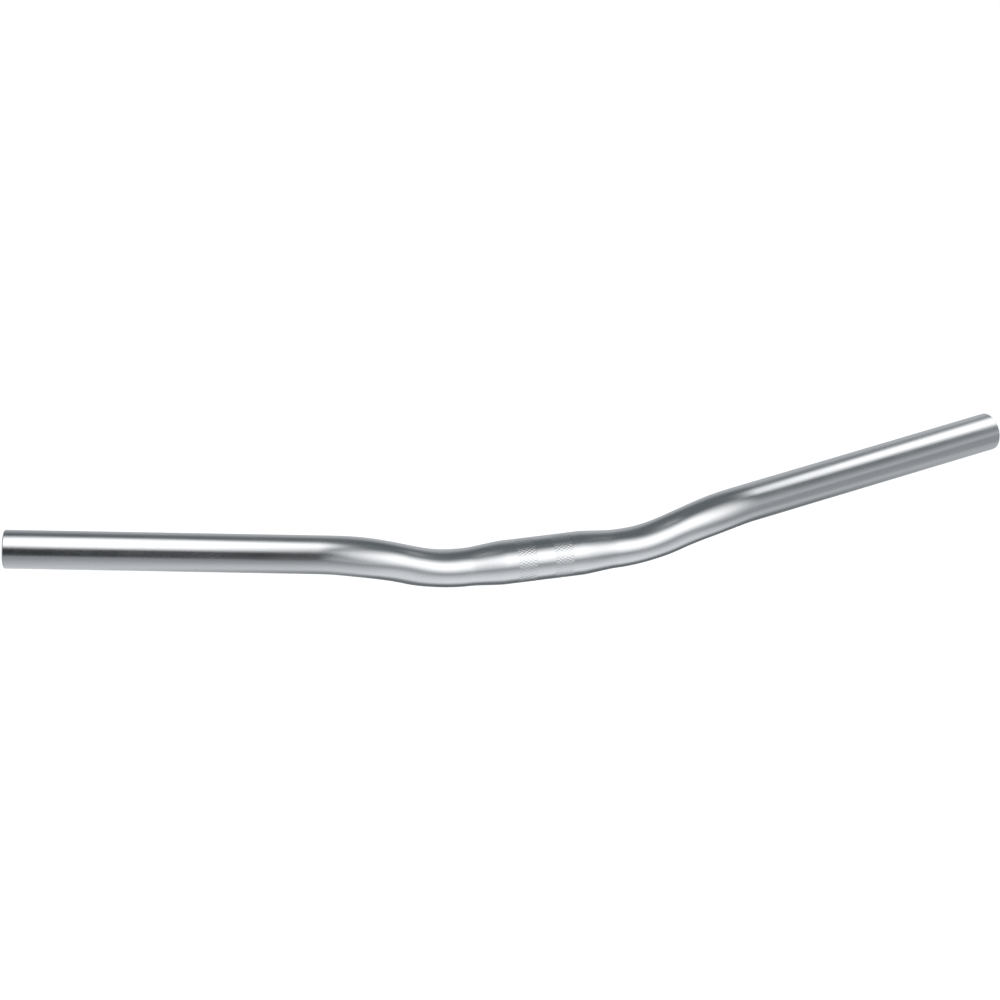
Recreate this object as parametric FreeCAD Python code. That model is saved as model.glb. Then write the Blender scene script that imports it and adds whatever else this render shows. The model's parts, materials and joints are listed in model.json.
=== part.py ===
import FreeCAD, Part
import math
import os

# City bike handlebar: one aluminium tube, wider in the middle, bent up and then back on each side.
# Frame: origin in the middle of the clamping zone, +X along it, +Y to the rider, +Z up.
# Lengths are in millimetres and angles in degrees.

# overall size, between the centres of the two end faces
WIDTH = 600.0

# tube
GRIP_DIAMETER = 22.2
CLAMP_DIAMETER = 25.4
WALL = 2.2

# clamping zone and the taper beside it, with the share of the taper that rounds off each of its ends
CLAMP_LENGTH = 46.0
TAPER_LENGTH = 21.0
SHOULDER_EASE_RATIO = 0.2
TAIL_EASE_RATIO = 0.2

# bends: the rise leaves the clamping zone upwards, the sweep turns the grip back and level again
RISE_ANGLE = 19.0
BACKSWEEP_ANGLE = 18.5
BEND_RADIUS = 105.0
RISE_STRAIGHT = 5.0

# share of the radius by which bending flattens the tube, at the middle of each bend
RISE_FLATTENING_RATIO = 0.025
SWEEP_FLATTENING_RATIO = 0.045
STATIONS = 9

# dressed edges at the open ends
OUTER_CHAMFER = 0.6
INNER_CHAMFER = 0.4

GRIP_RADIUS = GRIP_DIAMETER / 2
CLAMP_RADIUS = CLAMP_DIAMETER / 2
BORE_RADIUS = GRIP_RADIUS - WALL
TAPER_END = CLAMP_LENGTH / 2 + TAPER_LENGTH

ORIGIN = FreeCAD.Vector(0, 0, 0)
X_AXIS = FreeCAD.Vector(1, 0, 0)
Y_AXIS = FreeCAD.Vector(0, 1, 0)
Z_AXIS = FreeCAD.Vector(0, 0, 1)
FULL_TURN = 360


def heading(towards, degrees):
    """The direction that is turned from +X towards another axis."""
    angle = math.radians(degrees)
    return X_AXIS * math.cos(angle) + towards * math.sin(angle)


def local_frame(point, across, tangent):
    """A placement with its own X across the tube and its own Z along it."""
    side = tangent.cross(across)
    rows = zip(across, side, tangent, point)
    return FreeCAD.Placement(FreeCAD.Matrix(*[value for row in rows for value in row], 0, 0, 0, 1))


def section(frame, wide, narrow):
    """One closed section of the tube: an ellipse, or a circle where both radii are the same."""
    if wide - narrow > Part.Precision.confusion():
        curve = Part.Ellipse(ORIGIN, wide, narrow)
    else:
        curve = Part.Circle(ORIGIN, Z_AXIS, wide)
    wire = Part.Wire(curve.toShape())
    wire.Placement = frame
    return wire


def tapered_line(shoulder, tail):
    """The swaged profile from the clamping zone to the tube: a cone with eased ends."""
    curve = Part.BezierCurve()
    curve.setPoles([
        shoulder,
        shoulder + X_AXIS * TAPER_LENGTH * SHOULDER_EASE_RATIO,
        tail - X_AXIS * TAPER_LENGTH * TAIL_EASE_RATIO,
        tail,
    ])
    return curve.toShape()


def clamp_outline(radius, tube_radius):
    """The upper line of the clamping zone with its two tapers, from -X to +X."""
    half = CLAMP_LENGTH / 2
    shoulder = FreeCAD.Vector(half, radius, 0)
    tail = FreeCAD.Vector(TAPER_END, tube_radius, 0)
    right = tapered_line(shoulder, tail)
    left = right.mirror(ORIGIN, X_AXIS)
    flat = Part.makeLine(FreeCAD.Vector(-half, radius, 0), shoulder)
    return [left, flat, right]


def clamp_section():
    """The clamping zone and its tapers, turned about +X."""
    outer = clamp_outline(CLAMP_RADIUS, GRIP_RADIUS)
    inner = clamp_outline(CLAMP_RADIUS - WALL, BORE_RADIUS)
    ends = [
        Part.makeLine(FreeCAD.Vector(x, BORE_RADIUS, 0), FreeCAD.Vector(x, GRIP_RADIUS, 0))
        for x in (-TAPER_END, TAPER_END)
    ]
    outline = Part.Wire(Part.__sortEdges__(outer + inner + ends))
    return Part.Face(outline).revolve(ORIGIN, X_AXIS, FULL_TURN)


def bend_path(start, into, out):
    """Points and tangents along one bend, and the direction across its plane."""
    turn = into.getAngle(out)
    inward = (out - into * into.dot(out)).normalize()
    across = into.cross(inward)
    path = []
    for step in range(STATIONS):
        angle = turn * step / (STATIONS - 1)
        reach = into * math.sin(angle) + inward * (1 - math.cos(angle))
        tangent = into * math.cos(angle) + inward * math.sin(angle)
        path.append((start + reach * BEND_RADIUS, tangent))
    return path, across


def bent_rod(path, across, radius, flattening, inset):
    """A solid rod along a bend, flattened most in the middle and round at both ends."""
    wires = []
    for step, (point, tangent) in enumerate(path):
        share = flattening * math.sin(math.pi * step / (STATIONS - 1)) ** 2
        wide = radius * (1 + share) - inset
        narrow = radius * (1 - share) - inset
        wires.append(section(local_frame(point, across, tangent), wide, narrow))
    return Part.makeLoft(wires, True, False)


def bend(start, into, out, flattening):
    """One bend of the tube, and the point where it ends."""
    path, across = bend_path(start, into, out)
    outer = bent_rod(path, across, GRIP_RADIUS, flattening, 0)
    inner = bent_rod(path, across, GRIP_RADIUS, flattening, WALL)
    return outer.cut(inner), path[-1][0]


def straight(start, along, length):
    """A plain length of tube."""
    outer = Part.makeCylinder(GRIP_RADIUS, length, start, along)
    return outer.cut(Part.makeCylinder(BORE_RADIUS, length, start, along))


def grip(start, along, length):
    """The straight grip, with dressed edges around its open end."""
    profile = [
        (BORE_RADIUS, 0),
        (GRIP_RADIUS, 0),
        (GRIP_RADIUS, length - OUTER_CHAMFER),
        (GRIP_RADIUS - OUTER_CHAMFER, length),
        (BORE_RADIUS + INNER_CHAMFER, length),
        (BORE_RADIUS, length - INNER_CHAMFER),
    ]
    points = [FreeCAD.Vector(radius, 0, height) for radius, height in profile]
    tube = Part.Face(Part.makePolygon(points + points[:1])).revolve(ORIGIN, Z_AXIS, FULL_TURN)
    tube.Placement = local_frame(start, along.cross(Z_AXIS).normalize(), along)
    return tube


def right_half():
    """The pieces of tube from the taper to the right end, in order."""
    rise = heading(Z_AXIS, RISE_ANGLE)
    back = heading(Y_AXIS, BACKSWEEP_ANGLE)
    rise_bend, rise_start = bend(X_AXIS * TAPER_END, X_AXIS, rise, RISE_FLATTENING_RATIO)
    sweep_start = rise_start + rise * RISE_STRAIGHT
    sweep_bend, grip_start = bend(sweep_start, rise, back, SWEEP_FLATTENING_RATIO)
    grip_length = (WIDTH / 2 - grip_start.x) / back.x
    return [
        rise_bend,
        straight(rise_start, rise, RISE_STRAIGHT),
        sweep_bend,
        grip(grip_start, back, grip_length),
    ]


def handlebar():
    """The whole bar as one solid."""
    right = right_half()
    left = [piece.mirror(ORIGIN, X_AXIS) for piece in right]
    return clamp_section().multiFuse(right + left).Solids[0]


os.makedirs("parts", exist_ok=True)
handlebar().exportStep("parts/handlebar.step")
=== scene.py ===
import json
import math
from collections import namedtuple
from itertools import accumulate

import bpy
from mathutils import Matrix, Vector


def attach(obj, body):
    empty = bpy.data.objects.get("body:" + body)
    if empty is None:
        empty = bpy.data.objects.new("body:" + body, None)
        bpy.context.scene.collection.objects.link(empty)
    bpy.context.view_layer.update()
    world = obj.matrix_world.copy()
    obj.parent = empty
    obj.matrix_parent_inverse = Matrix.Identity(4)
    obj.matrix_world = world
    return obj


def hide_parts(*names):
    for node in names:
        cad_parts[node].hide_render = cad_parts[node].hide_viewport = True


# City bike handlebar: one polished aluminium tube, shown in a plain studio.
# Frame: origin in the middle of the clamping zone, +X along it, +Y to the rider, +Z up.
# Lengths are in metres. Angles are in radians, or in degrees for the lamps and cards.

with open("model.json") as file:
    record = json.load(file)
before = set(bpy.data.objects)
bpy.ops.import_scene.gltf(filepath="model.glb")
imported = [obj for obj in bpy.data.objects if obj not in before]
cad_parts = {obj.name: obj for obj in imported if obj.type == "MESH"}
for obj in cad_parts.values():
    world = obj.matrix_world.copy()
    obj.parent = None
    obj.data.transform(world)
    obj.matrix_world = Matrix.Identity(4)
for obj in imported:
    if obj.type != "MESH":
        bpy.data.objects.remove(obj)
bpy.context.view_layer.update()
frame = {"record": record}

MM = 0.001
FULL_TURN = 2 * math.pi
X_AXIS = Vector((1, 0, 0))
Y_AXIS = Vector((0, 1, 0))
Z_AXIS = Vector((0, 0, 1))

# sizes that the mounts state
MOUNTS = {mount["name"]: mount for mount in frame["record"]["mounts"]}
CLAMP_RADIUS = MOUNTS["stem_clamp"]["dims"]["r_mm"] * MM
CLAMP_LENGTH = MOUNTS["stem_clamp"]["dims"]["length_mm"] * MM
GRIP_RADIUS = MOUNTS["right_grip"]["dims"]["r_mm"] * MM
GRIP_LENGTH = MOUNTS["right_grip"]["dims"]["length_mm"] * MM
GRIP_AXIS = Vector(MOUNTS["right_grip"]["axis"])
RIGHT_GRIP = Vector(MOUNTS["right_grip"]["pos_m"])
LEFT_GRIP = Vector(MOUNTS["left_grip"]["pos_m"])
MIDDLE = Vector(MOUNTS["stem_clamp"]["pos_m"])

# the rest of the tube, as in the solid
WALL = 2.2 * MM
TAPER_LENGTH = 21.0 * MM
SHOULDER_EASE_RATIO = 0.2
TAIL_EASE_RATIO = 0.2
RISE_ANGLE = math.radians(19.0)
BEND_RADIUS = 105.0 * MM
RISE_STRAIGHT = 5.0 * MM
RISE_FLATTENING_RATIO = 0.025
SWEEP_FLATTENING_RATIO = 0.045
OUTER_CHAMFER = 0.6 * MM
INNER_CHAMFER = 0.4 * MM
TAPER_END = CLAMP_LENGTH / 2 + TAPER_LENGTH

# fine rounding of the edges at the open ends, which the solid leaves sharp
EDGE_ROUND = 0.12 * MM

# two knurled bands on the clamping zone, each a whole number of diamonds long and round
KNURL_CENTRE = 11.0 * MM
KNURL_STARTS = 48
KNURL_ROWS = 4
KNURL_HELIX = math.radians(30.0)
KNURL_DEPTH = 0.085 * MM
KNURL_FADE = 0.6 * MM
KNURL_DIAMOND = FULL_TURN * CLAMP_RADIUS / KNURL_STARTS / math.tan(KNURL_HELIX)
KNURL_LENGTH = KNURL_ROWS * KNURL_DIAMOND

# fineness of the mesh
DIAMOND_STEPS = 8
FINE_POINTS = KNURL_STARTS * DIAMOND_STEPS
FINE_RATIO = 4
POINTS = FINE_POINTS // FINE_RATIO
TAPER_RINGS = 20
BEND_RINGS = 40
GRIP_RINGS = 12
EDGE_STEPS = 3
SUPPORT_GAP = 0.4 * MM

# camera, as the picture was taken
VIEW_AZIMUTH = math.radians(-16.12)
VIEW_ELEVATION = math.radians(24.63)
VIEW_DISTANCE = 2.724
VIEW_TARGET = Vector((-24.6, 0.0, 39.7)) * MM
LENS_MM = 171.9
SENSOR_MM = 36.0

# metal: polished outside, dull and drawn inside, each with its range of roughness
Finish = namedtuple("Finish", "name colour roughness metallic line_height")
POLISHED = Finish("polished_aluminium", (0.79, 0.80, 0.815), (0.21, 0.30), 1.0, 0.002 * MM)
DRAWN = Finish("drawn_bore", (0.72, 0.72, 0.73), (0.40, 0.55), 0.4, 0.01 * MM)
FINISHES = (POLISHED, DRAWN)
OUTSIDE = FINISHES.index(POLISHED)
BORE = FINISHES.index(DRAWN)

# marks of drawing and polishing: grains for each metre along and around the tube, and heights
Grain = namedtuple("Grain", "along around detail")
DRAW_MARKS = Grain(4.0, 190.0, 1.0)
DRAW_MARK_HEIGHT = 0.03 * MM
STREAKS = Grain(9.0, 620.0, 2.0)
STREAK_HEIGHT = 0.006 * MM
STREAK_TONES = (0.97, 1.03)
FINE_LINES = Grain(25.0, 2600.0, 3.0)
CLOUDS = Grain(45.0, 90.0, 3.0)

# the range that most values of a noise lie in
NOISE_LOW = 0.3
NOISE_HIGH = 0.7

# studio: a pale floor, and grey walls that darken upwards
FLOOR_HEIGHT = -0.5
FLOOR_SIZE = 24.0
FLOOR_COLOUR = (0.86, 0.86, 0.86)
FLOOR_ROUGHNESS = 0.9
FLOOR_GLOW = 0.25
GLOW_COLOUR = (1.0, 1.0, 1.0)
HORIZON_COLOUR = (0.524, 0.543, 0.562)
ZENITH_COLOUR = (0.11, 0.127, 0.136)
ZENITH_RISE = 0.535
FILL_STRENGTH = 2.3
FILL_SPREAD = math.radians(120.0)

# lamp faces and cards: where they stand as seen from the point they aim at, with angles in degrees,
# and the share of each that fades out towards its edges
Panel = namedtuple("Panel", "aim azimuth elevation distance width height roll softness colour")
LAMP_COLOUR = (1.5, 1.5, 1.5)
FRONT_LAMP = Panel(MIDDLE, 19.6, 34.0, 0.443, 0.75, 0.78, 21.0, 0.90, LAMP_COLOUR)
LEFT_LAMP = Panel(LEFT_GRIP, -48.0, 68.2, 0.41, 0.55, 0.71, -1.7, 0.66, LAMP_COLOUR)
RIGHT_LAMP = Panel(RIGHT_GRIP, 101.3, 45.4, 0.303, 0.33, 0.567, 7.2, 0.83, LAMP_COLOUR)
DARK_CARD = Panel(LEFT_GRIP, -51.4, 16.3, 1.7, 2.56, 2.31, 0.0, 0.13, (0.002, 0.003, 0.004))
BACK_CARD = Panel(MIDDLE, 158.8, 9.0, 2.0, 3.31, 4.04, 0.0, 0.96, (0.506, 0.523, 0.54))

# the low card glows with a painted pool of light, and a darker card on it behind the bar is a painted
# shadow of the bar; both are seen only in reflections
LOW_HEIGHT = -0.4
PAINTED_POOL_CENTRE = Vector((0.093, 0.546))
PAINTED_POOL_REACH = Vector((0.944, 2.47))
PAINTED_POOL_COLOUR = (1.43, 1.46, 1.49)
LOW_COLOUR = (0.296, 0.309, 0.322)
# the darker card: a painted shadow of the bar on the low card
PAINTED_SHADOW_CENTRE = Vector((0.161, 0.178))
PAINTED_SHADOW_SIZE = Vector((0.987, 0.676))
PAINTED_SHADOW_SOFTNESS = 0.60
PAINTED_SHADOW_COLOUR = (0.125, 0.138, 0.145)
PAINTED_SHADOW_LIFT = 0.001

# sockets of a mix node that mixes colours
MIX_FACTOR = 0
MIX_LOW = 6
MIX_HIGH = 7
MIX_RESULT = 2

# a place along the tube: first and second span its section without twist, across and inward are the axes
# of its ellipse, wide and narrow are its radii, and along is its distance from the middle of the bar
Station = namedtuple("Station", "centre first second across inward wide narrow along")

# the points around a station, their places on the straightened tube, and whether they line the bore
Ring = namedtuple("Ring", "points places lining")


def turned(vector, axis, angle):
    """The vector turned about an axis."""
    return Matrix.Rotation(angle, 3, axis) @ vector


def mixed(poles, share):
    """The point at a share of a cubic curve with four poles."""
    start, leave, arrive, end = poles
    rest = 1 - share
    ends = start * rest ** 3 + end * share ** 3
    return ends + (leave * rest + arrive * share) * (3 * rest * share)


def round_station(centre, first, second, radius, along):
    """A place on the tube where its section is a circle."""
    return Station(centre, first, second, first, second, radius, radius, along)


def clamp_station(along, radius=CLAMP_RADIUS):
    """A place on the clamping zone or its taper."""
    return round_station(X_AXIS * along, Y_AXIS, Z_AXIS, radius, along)


def taper_stations():
    """The swaged taper from the clamping zone to the tube, a cone with eased ends."""
    start = CLAMP_LENGTH / 2
    shoulder = start + TAPER_LENGTH * SHOULDER_EASE_RATIO
    tail = TAPER_END - TAPER_LENGTH * TAIL_EASE_RATIO
    along = (start, shoulder, tail, TAPER_END)
    radii = (CLAMP_RADIUS, CLAMP_RADIUS, GRIP_RADIUS, GRIP_RADIUS)
    shares = [step / TAPER_RINGS for step in range(TAPER_RINGS + 1)]
    return [clamp_station(mixed(along, share), mixed(radii, share)) for share in shares]


def bend_stations(start, into, out, flattening):
    """One bend from a station on, flattened most in its middle."""
    turn = into.angle(out)
    inward = (out - into * into.dot(out)).normalized()
    across = into.cross(inward)
    stations = []
    for step in range(1, BEND_RINGS + 1):
        angle = turn * step / BEND_RINGS
        share = flattening * math.sin(math.pi * step / BEND_RINGS) ** 2
        reach = into * math.sin(angle) + inward * (1 - math.cos(angle))
        stations.append(Station(
            start.centre + reach * BEND_RADIUS,
            turned(start.first, across, angle),
            turned(start.second, across, angle),
            across,
            turned(inward, across, angle),
            GRIP_RADIUS * (1 + share),
            GRIP_RADIUS * (1 - share),
            start.along + BEND_RADIUS * angle,
        ))
    return stations


def moved(start, direction, length):
    """The station a length further along a straight run."""
    return start._replace(centre=start.centre + direction * length, along=start.along + length)


def path_stations():
    """The right half of the tube from the shoulder of the clamping zone to the open end."""
    rise = X_AXIS * math.cos(RISE_ANGLE) + Z_AXIS * math.sin(RISE_ANGLE)
    taper = taper_stations()
    rise_bend = bend_stations(taper[-1], X_AXIS, rise, RISE_FLATTENING_RATIO)
    sweep_start = moved(rise_bend[-1], rise, RISE_STRAIGHT)
    sweep_bend = bend_stations(sweep_start, rise, GRIP_AXIS, SWEEP_FLATTENING_RATIO)
    spacing = (GRIP_LENGTH - SUPPORT_GAP) / GRIP_RINGS
    grip = [moved(sweep_bend[-1], GRIP_AXIS, spacing * step) for step in range(1, GRIP_RINGS + 1)]
    return taper + rise_bend + [sweep_start] + sweep_bend + grip


def flank(phase):
    """How far up a knurl flank a phase is: 0 in a groove, 1 on the line between two grooves."""
    return 2 * abs(phase - round(phase))


def knurl_phases(along, angle):
    """The phases of the left and right grooves at one place of a knurled band."""
    turns = KNURL_STARTS * angle / FULL_TURN
    climb = (along - KNURL_CENTRE) / KNURL_DIAMOND
    return turns + climb, turns - climb


def knurl_cut(along, angle):
    """How deep the knurl is cut at one place, fading out at the ends of the band."""
    left, right = knurl_phases(along, angle)
    inside = KNURL_LENGTH / 2 - abs(along - KNURL_CENTRE)
    fade = min(1.0, max(0.0, inside / KNURL_FADE))
    return KNURL_DEPTH * fade * (1 - min(flank(left), flank(right)))


def no_cut(along, angle):
    """The plain surface."""
    return 0.0


def ring(station, count, inset=0.0, cut=no_cut, lining=False):
    """One closed ring of points around a station, with each point's place on the straightened tube."""
    points = []
    places = []
    radius = (station.wide + station.narrow) / 2 - inset
    for step in range(count):
        angle = FULL_TURN * step / count
        ray = station.first * math.cos(angle) + station.second * math.sin(angle)
        depth = inset + cut(station.along, angle)
        wide = station.across * ray.dot(station.across) * (station.wide - depth)
        narrow = station.inward * ray.dot(station.inward) * (station.narrow - depth)
        points.append(station.centre + wide + narrow)
        places.append((station.along, radius * math.cos(angle), radius * math.sin(angle)))
    return Ring(points, places, lining)


def knurl_rings():
    """The knurled band, with a plain ring before and after it."""
    start = KNURL_CENTRE - KNURL_LENGTH / 2
    count = KNURL_ROWS * DIAMOND_STEPS
    fine = [
        ring(clamp_station(start + KNURL_LENGTH * step / count), FINE_POINTS, cut=knurl_cut)
        for step in range(count + 1)
    ]
    before = ring(clamp_station(start - SUPPORT_GAP), POINTS)
    after = ring(clamp_station(start + KNURL_LENGTH + SUPPORT_GAP), POINTS)
    return [before] + fine + [after]


def rounded(corners, radius):
    """An open outline with its inner corners rounded off."""
    outline = [corners[0]]
    for before, corner, after in zip(corners, corners[1:], corners[2:]):
        back = (before - corner).normalized()
        on = (after - corner).normalized()
        for step in range(EDGE_STEPS + 1):
            share = step / EDGE_STEPS
            poles = (corner + back * radius, corner, corner, corner + on * radius)
            outline.append(mixed(poles, share))
    return outline + [corners[-1]]


def end_rings(last):
    """The dressed open end, from the outside round its edges to the bore."""
    corners = [
        Vector((0.0, 0.0)),
        Vector((SUPPORT_GAP, 0.0)),
        Vector((SUPPORT_GAP + OUTER_CHAMFER, OUTER_CHAMFER)),
        Vector((SUPPORT_GAP + OUTER_CHAMFER, WALL - INNER_CHAMFER)),
        Vector((SUPPORT_GAP + OUTER_CHAMFER - INNER_CHAMFER, WALL)),
        Vector((0.0, WALL)),
    ]
    outline = rounded(corners, EDGE_ROUND)[1:]
    return [ring(moved(last, GRIP_AXIS, ahead), POINTS, inset) for ahead, inset in outline]


def half_rings():
    """The right half: along the outside to the open end, and back along the bore."""
    stations = path_stations()
    outside = knurl_rings() + [ring(station, POINTS) for station in stations]
    inside = [ring(station, POINTS, WALL, lining=True) for station in reversed(stations[:-1])]
    return outside + end_rings(stations[-1]) + inside


def mirrored(half):
    """The ring on the left half that matches one on the right half."""
    points = [Vector((-point.x, point.y, point.z)) for point in half.points]
    places = [(-along, side, up) for along, side, up in half.places]
    return Ring(points, places, half.lining)


def tube_faces(near, far, near_start, far_start):
    """Faces between two rings, where one may have more points than the other."""
    near_step = len(near.points) // POINTS
    far_step = len(far.points) // POINTS
    faces = []
    for step in range(POINTS):
        first = [near_start + (step * near_step + i) % len(near.points) for i in range(near_step + 1)]
        second = [far_start + (step * far_step + i) % len(far.points) for i in range(far_step + 1)]
        faces.append(first + second[::-1])
    return faces


def knurl_faces(near, far, near_start, far_start):
    """Triangles between two knurl rings, each pair split the way that the knurl runs there."""
    count = len(near.points)
    here = abs(near.places[0][0])
    there = abs(far.places[0][0])
    faces = []
    for step in range(count):
        after = (step + 1) % count
        angle = FULL_TURN * step / count
        next_angle = FULL_TURN * (step + 1) / count
        middle = knurl_cut((here + there) / 2, (angle + next_angle) / 2)
        onward = (knurl_cut(here, angle) + knurl_cut(there, next_angle)) / 2
        backward = (knurl_cut(here, next_angle) + knurl_cut(there, angle)) / 2
        a, b = near_start + step, near_start + after
        c, d = far_start + after, far_start + step
        if abs(onward - middle) < abs(backward - middle):
            faces += [(a, b, c), (a, c, d)]
        else:
            faces += [(a, b, d), (b, c, d)]
    return faces


def tube_surface(rings):
    """The faces from each ring to the next, whether each is smooth, and which finish each has."""
    starts = [0, *accumulate(len(entry.points) for entry in rings)]
    faces = []
    smooth = []
    finishes = []
    for index, near in enumerate(rings):
        after = (index + 1) % len(rings)
        far = rings[after]
        fine = len(near.points) == FINE_POINTS == len(far.points)
        build = knurl_faces if fine else tube_faces
        added = build(near, far, starts[index], starts[after])
        faces += added
        smooth += [not fine] * len(added)
        finishes += [BORE if near.lining and far.lining else OUTSIDE] * len(added)
    return faces, smooth, finishes


def tube_mesh():
    """The whole tube as one closed mesh, with places on the straightened tube as an attribute."""
    right = half_rings()
    rings = right + [mirrored(half) for half in reversed(right)]
    points = [point for entry in rings for point in entry.points]
    places = [value for entry in rings for place in entry.places for value in place]
    faces, smooth, finishes = tube_surface(rings)
    mesh = bpy.data.meshes.new("handlebar_tube")
    mesh.from_pydata(points, [], faces)
    mesh.polygons.foreach_set("use_smooth", smooth)
    mesh.polygons.foreach_set("material_index", finishes)
    mesh.attributes.new("straight", "FLOAT_VECTOR", "POINT").data.foreach_set("vector", places)
    mesh.update()
    return mesh


def node(tree, kind, links=None, **settings):
    """A new shader node with its settings, and its inputs set or linked."""
    new = tree.nodes.new(kind)
    for name, value in settings.items():
        setattr(new, name, value)
    for key, value in (links or {}).items():
        if isinstance(value, bpy.types.NodeSocket):
            tree.links.new(value, new.inputs[key])
        else:
            new.inputs[key].default_value = value
    return new


def new_material(name):
    """An empty material with an output node."""
    material = bpy.data.materials.new(name)
    material.use_nodes = True
    material.node_tree.nodes.clear()
    output = material.node_tree.nodes.new("ShaderNodeOutputMaterial")
    return material, material.node_tree, output


def opaque(colour):
    """A colour that hides what is behind it."""
    return (*colour, 1.0)


def calculated(tree, operation, *values):
    """The result of one operation on numbers."""
    return node(tree, "ShaderNodeMath", dict(enumerate(values)), operation=operation).outputs["Value"]


def calculated_vector(tree, operation, first, second):
    """The result of one operation on two vectors."""
    links = {0: first, 1: second}
    return node(tree, "ShaderNodeVectorMath", links, operation=operation).outputs["Vector"]


def blended(tree, factor, low, high):
    """A colour between two colours."""
    links = {MIX_FACTOR: factor, MIX_LOW: opaque(low), MIX_HIGH: opaque(high)}
    return node(tree, "ShaderNodeMix", links, data_type="RGBA").outputs[MIX_RESULT]


def stretched_noise(tree, place, grain):
    """Noise on the straightened tube, with one scale along it and another around it."""
    scaled = calculated_vector(tree, "MULTIPLY", place, (grain.along, grain.around, grain.around))
    links = {"Vector": scaled, "Scale": 1.0, "Detail": grain.detail}
    return node(tree, "ShaderNodeTexNoise", links).outputs["Fac"]


def spread(tree, value, low, high):
    """A noise value brought into a range."""
    links = {
        "Value": value,
        "From Min": NOISE_LOW,
        "From Max": NOISE_HIGH,
        "To Min": low,
        "To Max": high,
    }
    return node(tree, "ShaderNodeMapRange", links).outputs["Result"]


def bumped(tree, height, distance, normal=None):
    """A surface raised by a noise value, on top of an earlier bump if there is one."""
    links = {"Height": height, "Strength": 1.0, "Distance": distance}
    if normal:
        links["Normal"] = normal
    return node(tree, "ShaderNodeBump", links).outputs["Normal"]


def aluminium(finish):
    """Drawn aluminium: long marks and fine lines along the tube under a slightly cloudy polish."""
    material, tree, output = new_material(finish.name)
    place = node(tree, "ShaderNodeAttribute", attribute_name="straight").outputs["Vector"]
    marks = stretched_noise(tree, place, DRAW_MARKS)
    streaks = stretched_noise(tree, place, STREAKS)
    lines = stretched_noise(tree, place, FINE_LINES)
    clouds = stretched_noise(tree, place, CLOUDS)
    polish = node(tree, "ShaderNodeMix", {"A": streaks, "B": clouds}).outputs["Result"]
    tone = spread(tree, streaks, *STREAK_TONES)
    shade = node(tree, "ShaderNodeVectorMath", {0: finish.colour, "Scale": tone}, operation="SCALE")
    normal = bumped(tree, marks, DRAW_MARK_HEIGHT)
    normal = bumped(tree, streaks, STREAK_HEIGHT, normal)
    normal = bumped(tree, lines, finish.line_height, normal)
    shader = node(tree, "ShaderNodeBsdfPrincipled", {
        "Base Color": shade.outputs["Vector"],
        "Metallic": finish.metallic,
        "Roughness": spread(tree, polish, *finish.roughness),
        "Normal": normal,
    })
    tree.links.new(shader.outputs["BSDF"], output.inputs["Surface"])
    return material


def faded(tree, value, half, softness):
    """How much of a card is there at a distance from its middle line: all of it, then less and less."""
    links = {
        "Value": calculated(tree, "ABSOLUTE", value),
        "From Min": half * (1 - softness),
        "From Max": half,
        "To Min": 1.0,
        "To Max": 0.0,
    }
    return node(tree, "ShaderNodeMapRange", links, interpolation_type="SMOOTHSTEP").outputs["Result"]


def soft_card_material(name, width, height, softness, colour):
    """An evenly glowing face that fades to nothing at its edges."""
    material, tree, output = new_material(name)
    place = node(tree, "ShaderNodeTexCoord").outputs["Object"]
    axes = node(tree, "ShaderNodeSeparateXYZ", {0: place})
    across = faded(tree, axes.outputs["X"], width / 2, softness)
    upward = faded(tree, axes.outputs["Y"], height / 2, softness)
    cover = calculated(tree, "MULTIPLY", across, upward)
    clear = node(tree, "ShaderNodeBsdfTransparent").outputs["BSDF"]
    glow = node(tree, "ShaderNodeEmission", {"Color": opaque(colour)}).outputs["Emission"]
    shader = node(tree, "ShaderNodeMixShader", {0: cover, 1: clear, 2: glow})
    tree.links.new(shader.outputs["Shader"], output.inputs["Surface"])
    return material


def painted_light_pool_material():
    """A glowing card with a painted pool of light, darker around it."""
    material, tree, output = new_material("low_card")
    place = node(tree, "ShaderNodeTexCoord").outputs["Object"]
    offset = calculated_vector(tree, "SUBTRACT", place, (*PAINTED_POOL_CENTRE, 0.0))
    reach = calculated_vector(tree, "DIVIDE", offset, (*PAINTED_POOL_REACH, 1.0))
    # the painted pool of light, lightest at its centre
    pool = node(tree, "ShaderNodeTexGradient", {"Vector": reach}, gradient_type="QUADRATIC_SPHERE")
    colour = blended(tree, pool.outputs["Fac"], LOW_COLOUR, PAINTED_POOL_COLOUR)
    shader = node(tree, "ShaderNodeEmission", {"Color": colour})
    tree.links.new(shader.outputs["Emission"], output.inputs["Surface"])
    return material


def floor_material():
    """A pale floor that looks white where it is seen."""
    material, tree, output = new_material("pale_floor")
    path = node(tree, "ShaderNodeLightPath").outputs
    seen = calculated(tree, "ADD", path["Is Camera Ray"], path["Is Glossy Ray"])
    seen = calculated(tree, "ADD", seen, path["Is Transmission Ray"])
    shader = node(tree, "ShaderNodeBsdfPrincipled", {
        "Base Color": opaque(FLOOR_COLOUR),
        "Roughness": FLOOR_ROUGHNESS,
        "Emission Color": opaque(GLOW_COLOUR),
        "Emission Strength": calculated(tree, "MULTIPLY", seen, FLOOR_GLOW),
    })
    tree.links.new(shader.outputs["BSDF"], output.inputs["Surface"])
    return material


def sheet_object(name, width, height, material):
    """A flat rectangle around its own origin, square to its own Z axis."""
    x, y = width / 2, height / 2
    mesh = bpy.data.meshes.new(name)
    mesh.from_pydata([(-x, -y, 0), (x, -y, 0), (x, y, 0), (-x, y, 0)], [], [(0, 1, 2, 3)])
    mesh.materials.append(material)
    sheet = bpy.data.objects.new(name, mesh)
    bpy.context.collection.objects.link(sheet)
    return sheet


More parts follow.
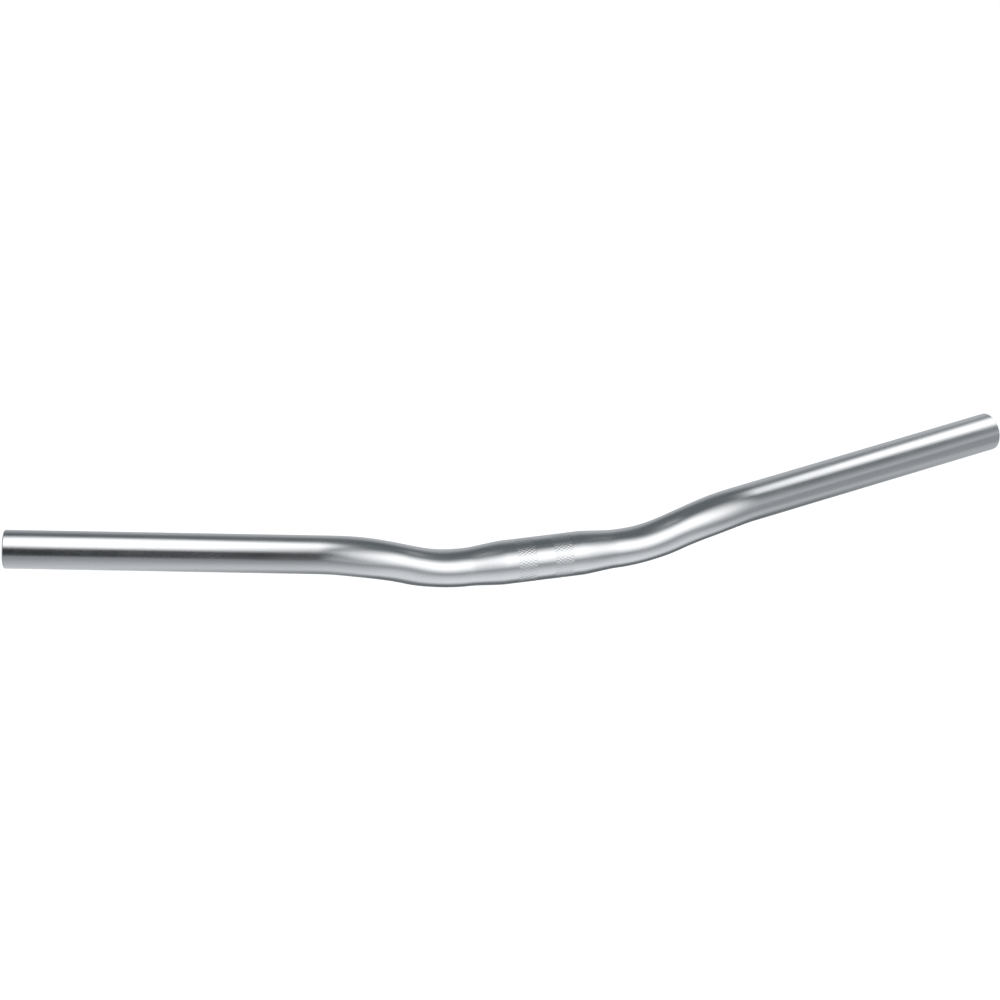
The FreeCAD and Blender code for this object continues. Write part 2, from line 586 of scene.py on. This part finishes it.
def aimed(item, place, target):
    """Puts a lamp face, a card or the camera in its place and turns it to a target."""
    item.location = place
    item.rotation_euler = (target - place).to_track_quat("-Z", "Y").to_euler()


def towards(azimuth, elevation):
    """The direction to a place around the bar: 0 is the front and a quarter turn is the right."""
    level = math.cos(elevation)
    return Vector((math.sin(azimuth) * level, -math.cos(azimuth) * level, math.sin(elevation)))


def unseen(item, lights):
    """Keeps a lamp face or card out of the picture, apart from its light and its reflections."""
    item.visible_camera = False
    item.visible_diffuse = lights
    item.visible_shadow = False


def add_panel(name, panel, lights):
    """A lamp face or card that faces the bar."""
    material = soft_card_material(name, panel.width, panel.height, panel.softness, panel.colour)
    item = sheet_object(name, panel.width, panel.height, material)
    direction = towards(math.radians(panel.azimuth), math.radians(panel.elevation))
    aimed(item, panel.aim + direction * panel.distance, panel.aim)
    item.rotation_euler.rotate_axis("Z", math.radians(panel.roll))
    unseen(item, lights)


def add_low_cards():
    """The card with its painted pool of light under the bar, and the darker card on it, a painted shadow
    of the bar.
    """
    low = sheet_object("low_card", FLOOR_SIZE, FLOOR_SIZE, painted_light_pool_material())
    low.location.z = LOW_HEIGHT
    unseen(low, False)
    # the darker card paints the bar's shadow on the low card
    material = soft_card_material("painted_shadow_card", *PAINTED_SHADOW_SIZE, PAINTED_SHADOW_SOFTNESS, PAINTED_SHADOW_COLOUR)
    shade = sheet_object("painted_shadow_card", *PAINTED_SHADOW_SIZE, material)
    shade.location = (*PAINTED_SHADOW_CENTRE, LOW_HEIGHT + PAINTED_SHADOW_LIFT)
    unseen(shade, False)


def add_fill():
    """Even light from above for the floor, which polished metal doesn't show."""
    lamp = bpy.data.lights.new("fill", "SUN")
    lamp.energy = FILL_STRENGTH
    lamp.angle = FILL_SPREAD
    item = bpy.data.objects.new("fill", lamp)
    item.visible_glossy = False
    bpy.context.collection.objects.link(item)


def add_world():
    """Even studio walls that darken towards the ceiling."""
    world = bpy.data.worlds.new("studio")
    world.use_nodes = True
    tree = world.node_tree
    tree.nodes.clear()
    direction = node(tree, "ShaderNodeTexCoord").outputs["Generated"]
    height = node(tree, "ShaderNodeSeparateXYZ", {0: direction}).outputs["Z"]
    rise = node(tree, "ShaderNodeMapRange", {"Value": height, "From Max": ZENITH_RISE}).outputs["Result"]
    colour = blended(tree, rise, HORIZON_COLOUR, ZENITH_COLOUR)
    background = node(tree, "ShaderNodeBackground", {"Color": colour})
    output = node(tree, "ShaderNodeOutputWorld")
    tree.links.new(background.outputs["Background"], output.inputs["Surface"])
    bpy.context.scene.world = world


def add_camera():
    """The camera at the picture's angle."""
    data = bpy.data.cameras.new("camera")
    data.lens = LENS_MM
    data.sensor_width = SENSOR_MM
    item = bpy.data.objects.new("camera", data)
    aimed(item, VIEW_TARGET + towards(VIEW_AZIMUTH, VIEW_ELEVATION) * VIEW_DISTANCE, VIEW_TARGET)
    bpy.context.collection.objects.link(item)
    bpy.context.scene.camera = item


def add_handlebar():
    """The finely meshed tube in place of the solid."""
    tube = bpy.data.objects.new("handlebar_tube", tube_mesh())
    bpy.context.collection.objects.link(tube)
    for finish in FINISHES:
        tube.data.materials.append(aluminium(finish))
    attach(tube, "root")
    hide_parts("handlebar")


def add_studio():
    """Floor, lamps and cards."""
    floor = sheet_object("floor", FLOOR_SIZE, FLOOR_SIZE, floor_material())
    floor.location.z = FLOOR_HEIGHT
    add_panel("front_lamp", FRONT_LAMP, True)
    add_panel("left_lamp", LEFT_LAMP, True)
    add_panel("right_lamp", RIGHT_LAMP, True)
    add_panel("dark_card", DARK_CARD, False)
    add_panel("back_card", BACK_CARD, False)
    add_low_cards()
    add_fill()


add_handlebar()
add_world()
add_studio()
add_camera()
bpy.context.scene.view_settings.view_transform = "Standard"
